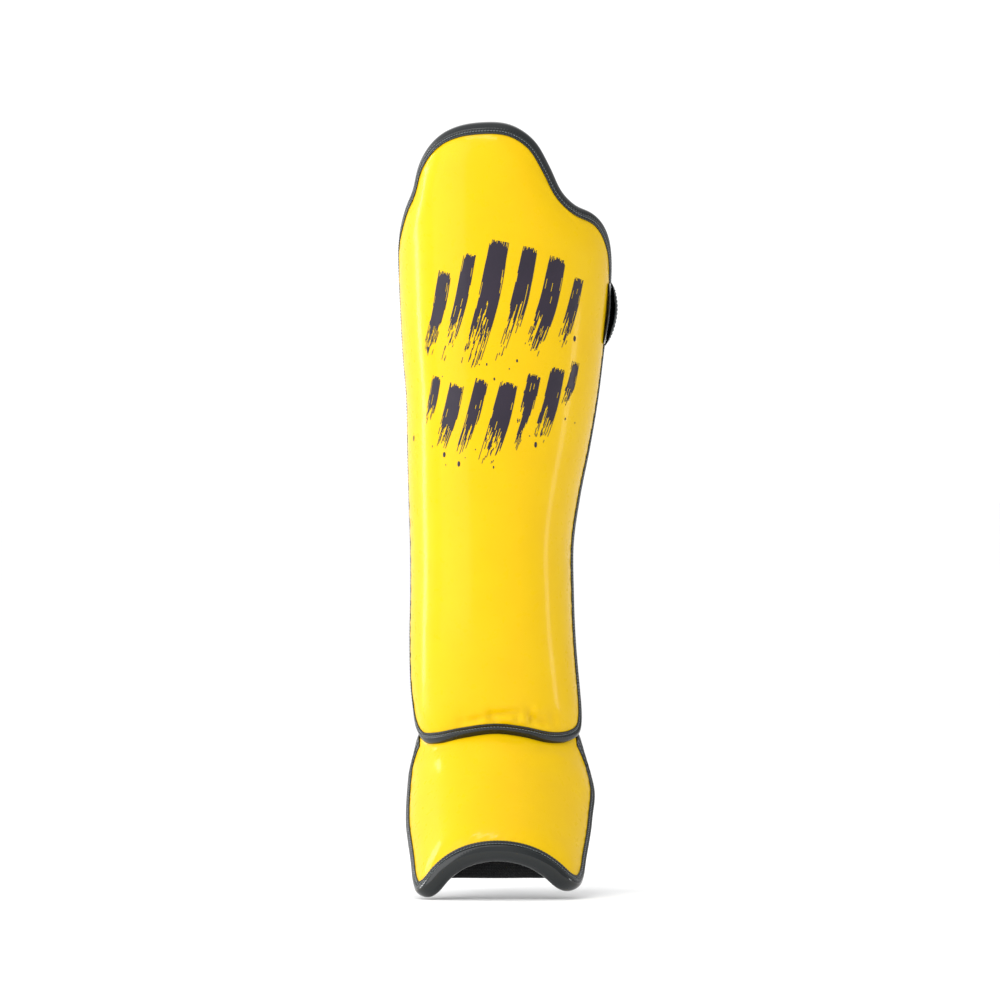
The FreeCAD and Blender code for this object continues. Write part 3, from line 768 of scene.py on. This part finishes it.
def seam_line(name, surface, points, out, unit_mm):
    """Stitches along a path of (angle, offset) points."""
    pitch = 2.6
    mm = np.array([[a * unit_mm, v] for a, v in points], float)
    along = np.concatenate([[0], np.cumsum(np.linalg.norm(np.diff(mm, axis=0), axis=1))])
    count = max(int(along[-1] / pitch), 1)
    at = (np.arange(count) + 0.5) * along[-1] / count

    def read(places):
        flat = np.stack([np.interp(places, along, mm[:, i]) for i in (0, 1)], axis=1)
        return surface(flat[:, 0] / unit_mm, flat[:, 1], out + 0 * flat[:, 0]), flat

    start, flat = read(at - pitch * 0.36)
    end, _ = read(at + pitch * 0.36)
    above = surface(flat[:, 0] / unit_mm, flat[:, 1], out + 1.0 + 0 * flat[:, 0])
    return capsules(name, start, end, unit(above - start), 0.3, 0.1)


def inset_path(low, high, half, radius, gap, unit_mm):
    """A stitch line gap mm inside a tab's edge and round its free end, as (angle, offset) points."""
    corner = radius - gap
    points = [(high, half - gap)]
    for first, side in ((90, 1), (180, -1)):
        for turn in np.radians(range(first, first + 91, 15)):
            points.append((low + gap / unit_mm + corner / unit_mm * (1 + math.cos(turn)),
                           side * (half - gap - corner) + corner * math.sin(turn)))
    return points + [(high, -(half - gap))]


def build_strap(prefix, z, back_depth, tab_inset, root_inset, wing_start, tab_start, root_end):
    """One closure: the loop wing and the root on the shin pad, the elastic, and the tab with its hooks."""
    surface = strap_surface(z, back_depth, tab_inset, root_inset)
    half = STRAP_HALF
    unit_mm = float(np.radians(1) * (smooth(SHIN_STATIONS, RIGHT_HALF_WIDTH, z) * 0.5 + back_depth * 0.5))
    strap, tab = f"{prefix}_strap", f"{prefix}_tab"

    def at(angle):
        """The middle of the strap at an angle, in metres."""
        return tuple(surface(np.array(float(angle)), np.array(0.0), np.array(HINGE_OUT)) * MM)

    def hold(obj, body):
        if body == tab:
            at(154)
            at(148)
            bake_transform(obj)
        elif body == strap:
            at(248.5)
            at(242.5)
            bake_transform(obj)
        else:
            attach(obj, body)

    def piece(node, span, half_width, radii, start, thickness, material, slot, body, **looks):
        obj = flat_piece(f"{prefix}_{node}", surface, span, half_width, radii, start, thickness, material,
                         unit_mm, **looks)
        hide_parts(f"{prefix}_{node}")
        hold(obj, body)

    def stitches(part, path, out, body):
        hold(seam_line(f"{prefix}_{part}", surface, path, out, unit_mm), body)

    piece("loop_wing", (wing_start, 150), half - 1, (3, 6), 1.6, 1.2, BLACK, "black_vinyl", "shin")
    piece("loop_tape", (103, 147), half - 3, (2, 2), 3.0, 0.8, LOOP, "loop_tape", "shin")
    hook = flat_piece(f"{prefix}_hook_tape", surface, (104, 144), half - 3, (2, 2), 4.2, 0.6, HOOK, unit_mm)
    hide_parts(f"{prefix}_hook_tape")
    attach(hook, tab)
    piece("strap_tab", (tab_start, TAB_END), half + 0.4, (13, 3), 5.0, 1.7, BLACK, "black_vinyl", tab,
          crown=0.5, rounding=0.8)
    piece("strap_elastic", (151.5, 252), half - 1.2, (1, 1), 3.9, 1.1, ELASTIC, "black_elastic", strap,
          ribs=(RIB_PITCH, RIB_HEIGHT), rounding=0.4)
    piece("strap_anchor", (ANCHOR_START, root_end), half, (3, 1.5), 5.1, 1.4, BLACK, "black_vinyl", "shin",
          crown=0.4, rounding=0.7)
    stitches("tab_thread", inset_path(tab_start, TAB_END, half + 0.4, 13, 2.6, unit_mm), 6.98, tab)
    for i, angle in enumerate((153.2, 156.4)):
        stitches(f"tab_bar_{i}", [(angle, -half + 3), (angle, half - 3)], 7.1, tab)
    start, end, edge = 249.5, root_end - 2.5, half - 3
    box = [(start, -edge), (end, -edge), (end, edge), (start, edge), (start, -edge), (end, edge)]
    stitches("anchor_thread", box, 6.85, "shin")
    for side, name in ((-1, "low"), (1, "high")):
        offset = side * (half - 3.4)
        stitches(f"wing_thread_{name}", [(148.6, offset), (wing_start + 2, offset)], 2.9, "shin")


build_strap("upper", 264, 72, 0.0, 9.0, 80, 87, 262)
build_strap("lower", 84, 60, 8.0, 6.2, 89.5, 94, 264.5)


# ---------------------------------------------------------------- the heel strap and the foot strap

def ribbon(name, path, direction, width, thickness, material):
    """A flat elastic band of ribbed cloth along a path, its width along a fixed direction."""
    length = np.linalg.norm(np.diff(np.asarray(path, float), axis=0), axis=1).sum()
    path = spaced(path, int(length / 1.2), False)
    tangent = unit(np.gradient(path, axis=0))
    direction = unit(np.asarray(direction, float))
    across = unit(direction[None] - tangent * (tangent @ direction)[:, None])
    normal = unit(np.cross(tangent, across))
    v = graded(width, 0.3, 0.6, 3) * width - width / 2
    edge = np.clip((width / 2 - np.abs(v)) / (thickness * 0.6), 0, 1)
    round_off = thickness / 2 * np.sqrt(np.clip(1 - (1 - edge) ** 2, 0, 1))
    rib = RIB_HEIGHT * np.sin(2 * math.pi * v / RIB_PITCH) * step((width / 2 - np.abs(v)) / 1.5)
    place = path[:, None] + across[:, None] * v[None, :, None]
    top = place + normal[:, None] * (round_off + rib)[None, :, None]
    bottom = place - normal[:, None] * (round_off + rib)[None, :, None]
    return slab(name, top, bottom, material)


def build_foot_strap():
    """Black elastic across the sole, seen through the toe arch, its ends up inside the pad's sides."""
    start, width = 46, 36
    middle = RIDGE + DOWN * (start + width / 2)
    points = [(-30.4, 32.4), (-33.4, 36), (-35.6, 39.9), (-34.2, 42.5), (-30.5, 43.2), (-20, 43.4), (0, 43.6)]
    points += [(-x, drop) for x, drop in reversed(points[:-1])]
    path = [middle + np.array([x, 0, 0]) - OUTWARD * drop for x, drop in points]
    band = ribbon("foot_strap", path, DOWN, width, 1.8, ELASTIC)
    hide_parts("foot_strap")
    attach(band, "instep")


def build_heel_strap():
    """Pale elastic from one side of the instep pad to the other, round the heel."""
    tilt = math.radians(25)
    start = np.array([0, -13.0, -34.0])
    back = np.array([0, math.cos(tilt), -math.sin(tilt)])
    up = np.array([0, math.sin(tilt), math.cos(tilt)])
    turns = np.radians(np.linspace(-87.5, 87.5, 37))
    path = [start + np.array([36.1 * math.sin(a) + 4 * math.sin(a) ** 15, 0, 0]) + back * 73.1 * math.cos(a)
            for a in turns]
    band = ribbon("heel_strap", path, up, 28, 1.8, GREY_ELASTIC)
    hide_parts("heel_strap")
    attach(band, "instep")


build_foot_strap()
build_heel_strap()


# ---------------------------------------------------------------- the printed brush strokes

# Each stroke: (top x and height, bottom x and height, sideways bow, width, raggedness of its end).
STROKES = (
    (-35, 290, -52, 236, 2, 11, 14), (-17, 301, -36, 234, 2, 9, 24), (2, 309, -18, 229, 2, 13, 18),
    (21, 305, 2, 233, 2, 10, 28), (39, 299, 21, 238, 2, 12, 16), (55, 286, 40, 240, 1, 8, 14),
    (-42, 225, -52, 193, 1, 8, 10), (-26, 220, -39, 178, 1, 11, 14), (-9, 223, -24, 172, 1, 9, 20),
    (8, 221, -7, 169, 1, 12, 14), (24, 226, 10, 176, 1, 9, 18), (40, 230, 27, 183, 1, 11, 14),
    (54, 234, 44, 204, 1, 7, 10),
)
DROPS = 26


def brush_mask(rows, columns, length, ragged_end):
    """Where a stroke's bristles leave ink: uneven ends, dry gaps further along, frayed sides."""
    along = np.linspace(0, length, rows + 1)[:-1]
    ink = np.ones((rows, columns), bool)
    load = np.convolve(RANDOM.random(columns + 6), np.ones(4) / 4, "same")[3:columns + 3]
    for k in range(columns):
        side = abs(2 * (k + 0.5) / columns - 1)
        begin = RANDOM.random() * 3.5 * (0.4 + side)
        stop = length - RANDOM.random() * ragged_end * (0.5 + side) - (ragged_end * 0.8 if load[k] < 0.4 else 0)
        ink[:, k] = (along >= begin) & (along <= stop)
        at = length * (0.4 + 0.5 * load[k])
        while at < length:
            gap = 1.5 + 6 * RANDOM.random()
            if RANDOM.random() < 0.66 - 0.45 * load[k]:
                ink[(along >= at) & (along < at + gap), k] = False
            at += gap
        if side > 0.8 and RANDOM.random() < 0.6:
            start = RANDOM.random() * length * 0.8
            ink[(along >= start) & (along < start + 3 + 9 * RANDOM.random()), k] = False
        if RANDOM.random() < 0.16:
            start = (0.1 + 0.7 * RANDOM.random()) * length
            ink[(along >= start) & (along < start + 2 + 6 * RANDOM.random()), k] = False
    return ink


def on_cover(mm, lift):
    """Places on the shin pad's cover, in mm across and up, raised by lift."""
    flat = SHIN.to_flat(mm)
    relief = shin_relief(flat, np.full(flat.shape[:-1], 60.0))
    return shin_surface(flat[..., 0], flat[..., 1], -(relief + lift) / SHIN.thickness(flat[..., 0]))


def ink_sheet(cells, ink, lift):
    """Closed thin blocks of ink over the marked cells of a grid: vertices and faces."""
    rows, columns = ink.shape
    step_row, below = columns + 1, (rows + 1) * (columns + 1)
    faces = []
    for i, k in zip(*np.nonzero(ink)):
        a = i * step_row + k
        b, c, d = a + 1, a + 1 + step_row, a + step_row
        faces += [(d, c, b, a), (a + below, b + below, c + below, d + below)]
        sides = ((i > 0 and ink[i - 1, k], a, b), (k + 1 < columns and ink[i, k + 1], b, c),
                 (i + 1 < rows and ink[i + 1, k], c, d), (k > 0 and ink[i, k - 1], d, a))
        faces += [(p, q, q + below, p + below) for joined, p, q in sides if not joined]
    vertices = np.concatenate([on_cover(cells, lift).reshape(-1, 3), on_cover(cells, 0.01).reshape(-1, 3)])
    used = np.unique(np.array(faces))
    place = np.zeros(len(vertices), int)
    place[used] = np.arange(len(used))
    return vertices[used], place[np.array(faces)]


def shin_print():
    """Dry-brush slashes in two rows and a few spatters: a thin layer of ink on the cover."""
    sheets = []
    for number, (x0, z0, x1, z1, bow, width, ragged_end) in enumerate(STROKES):
        middle = ((x0 + x1) / 2 + bow, (z0 + z1) / 2)
        length = math.dist((x0, z0), (x1, z1))
        rows, columns = int(length / 0.9), int(width / 0.42)
        path = spaced([(x0, z0), middle, (x1, z1)], rows, False)
        tangent = unit(np.gradient(path, axis=0))
        side = np.stack([-tangent[:, 1], tangent[:, 0]], axis=1)
        wander = 0.004 * RANDOM.standard_normal(rows + 1).cumsum()
        swell = 0.8 + 0.2 * np.sin(np.linspace(0.5, 2.8, rows + 1)) + wander
        across = (np.arange(columns + 1) / columns - 0.5) * width
        cells = path[:, None] + side[:, None] * (across[None] * swell[:, None])[..., None]
        mask = brush_mask(rows, columns, length, ragged_end)
        sheets.append(ink_sheet(cells, mask, 0.10 + 0.02 * (number % 3)))
    for _ in range(DROPS):
        foot = STROKES[RANDOM.integers(len(STROKES))][2:4]
        place = np.array(foot) + RANDOM.normal(0, (7, 6))
        size, turns = 0.35 + 0.8 * RANDOM.random() ** 2, np.linspace(0, 2 * math.pi, 11)
        rings = [place + r * size * np.stack([np.cos(turns), (1 + RANDOM.random()) * np.sin(turns)], axis=1)
                 for r in (0.01, 1.0)]
        sheets.append(ink_sheet(np.stack(rings), np.ones((1, 10), bool), 0.11))
    vertices, faces, total = [], [], 0
    for points, sheet_faces in sheets:
        vertices.append(points)
        faces += (sheet_faces + total).tolist()
        total += len(points)
    print_piece = mesh_object("shin_print", np.concatenate(vertices), faces, PRINT)
    mesh = bmesh.new()
    mesh.from_mesh(print_piece.data)
    bmesh.ops.remove_doubles(mesh, verts=mesh.verts, dist=1e-7)
    bmesh.ops.recalc_face_normals(mesh, faces=mesh.faces)
    mesh.to_mesh(print_piece.data)
    mesh.free()
    hold_shin(print_piece)


shin_print()


# ---------------------------------------------------------------- staging

FLOOR_HALF, FLOOR_HEIGHT = 60000, -100
corners = [(x * FLOOR_HALF, y * FLOOR_HALF, FLOOR_HEIGHT) for x, y in ((-1, -1), (1, -1), (1, 1), (-1, 1))]
floor_finish = Shader("floor", Base_Color=(1, 1, 1, 1), Roughness=0.9).material
floor = mesh_object("floor", corners, [[0, 1, 2, 3]], floor_finish)


def lamp(name, place, target, size, power):
    """A white area light: places and sizes in metres, power in watts."""
    light = bpy.data.lights.new(name, "AREA")
    light.shape = "RECTANGLE"
    light.size, light.size_y = size
    light.energy = power
    obj = bpy.data.objects.new(name, light)
    obj.location = place
    obj.rotation_euler = (Vector(target) - Vector(place)).to_track_quat("-Z", "Y").to_euler()
    bpy.context.scene.collection.objects.link(obj)


CENTRE = (0.002, -0.02, 0.147)
BRIGHT, DIM = 1.12, 0.64  # the surroundings' light from the left and from the right
lamp("key", (-1.5, -1.05, 0.6), CENTRE, (1.5, 2.0), 17)
lamp("strip", (-1.6, 0.45, 0.3), CENTRE, (0.22, 1.4), 13)
lamp("glint", (1.4, -0.15, 0.0), (0.0, -0.04, 0.0), (0.2, 0.3), 1.2)
lamp("sky", (-0.4, -1.1, 1.6), CENTRE, (1.1, 0.22), 7)
bpy.context.scene.view_settings.view_transform = "Standard"
world = bpy.data.worlds.new("studio")
bpy.context.scene.world = world
world.use_nodes = True
tree = world.node_tree
background = tree.nodes["Background"]
background.inputs["Color"].default_value = (1, 1, 1, 1)
direction = tree.nodes.new("ShaderNodeTexCoord").outputs["Generated"]
split = tree.nodes.new("ShaderNodeSeparateXYZ")
dimming = tree.nodes.new("ShaderNodeMapRange")
dimming.interpolation_type = "SMOOTHSTEP"
for socket, value in (("From Min", 0.1), ("From Max", 0.8), ("To Min", BRIGHT), ("To Max", DIM)):
    dimming.inputs[socket].default_value = value
tree.links.new(direction, split.inputs[0])
tree.links.new(split.outputs["X"], dimming.inputs["Value"])
tree.links.new(dimming.outputs["Result"], background.inputs["Strength"])

# A long lens from far off, so that the sides show as little as in a catalogue picture.
CAMERA_DISTANCE, PAD_DEPTH, VIEW_WIDTH, CAMERA_RISE = 5.0, 0.05, 0.62, 0.02
camera = bpy.data.objects.new("camera", bpy.data.cameras.new("camera"))
camera.data.sensor_width = 36
camera.data.lens = 36 * (CAMERA_DISTANCE - PAD_DEPTH) / VIEW_WIDTH
camera.location = (CENTRE[0], CENTRE[1] - CAMERA_DISTANCE, CENTRE[2] + CAMERA_RISE)
camera.rotation_euler = (Vector(CENTRE) - camera.location).to_track_quat("-Z", "Y").to_euler()
bpy.context.scene.collection.objects.link(camera)
bpy.context.scene.camera = camera
